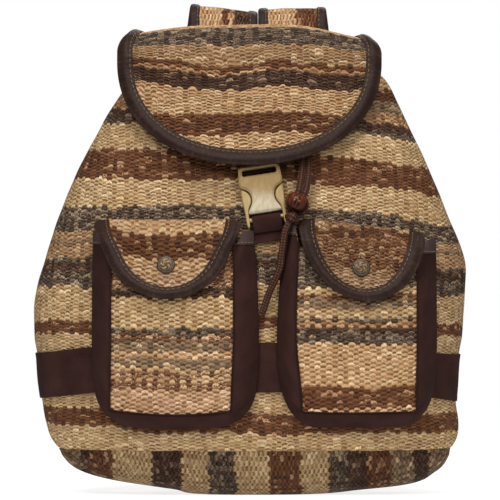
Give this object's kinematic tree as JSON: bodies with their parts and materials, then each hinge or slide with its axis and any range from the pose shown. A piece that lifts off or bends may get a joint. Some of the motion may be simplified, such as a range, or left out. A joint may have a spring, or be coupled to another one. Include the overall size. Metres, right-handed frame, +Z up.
{
  "type": "kilim backpack",
  "caption": "Stuffed woven-wool rucksack with a bound lid flap, side-release buckle, beaded drawstring, gusseted front pockets with snap flaps and bound shoulder straps.",
  "frame": {"origin": "on the floor under the middle of the bag, at the flat of the bottom panel", "axes": "+Z up, +X to the viewer's right when looking at the pockets, -Y towards the pocketed front"},
  "size_m": [0.3454, 0.2273, 0.3921],
  "materials": {
    "kilim": "coarse weft-faced wool weave in cream, brown and charcoal stripes",
    "twill": "dark brown plain cloth",
    "leather": "dark brown, soft sheen, tan stitching",
    "buckle": "khaki moulded plastic, satin",
    "snap": "antiqued, worn highlights",
    "cord": "braided reddish brown cord",
    "bead": "polished, lacquered"
  },
  "bodies": {
    "root": {"body": "kilim", "bottom_panel": "kilim", "flap": "kilim", "pocket_left_panel": "kilim", "pocket_left_flap": "kilim", "pocket_right_panel": "kilim", "pocket_right_flap": "kilim", "strap_left": "kilim", "strap_right": "kilim", "waist_band": "twill", "pocket_left_gusset": "twill", "pocket_right_gusset": "twill", "lid_tab": "twill", "body_tab": "twill", "flap_binding": "leather", "pocket_left_flap_binding": "leather", "pocket_right_flap_binding": "leather", "strap_left_edge_a": "leather", "strap_left_edge_b": "leather", "strap_right_edge_a": "leather", "strap_right_edge_b": "leather", "buckle_socket": "buckle", "buckle_prongs": "buckle", "pocket_left_snap": "snap", "pocket_right_snap": "snap", "drawstring_a": "cord", "drawstring_b": "cord", "knot": "cord", "drawstring_tail": "cord", "bead": "bead"}
  },
  "joints": []
}
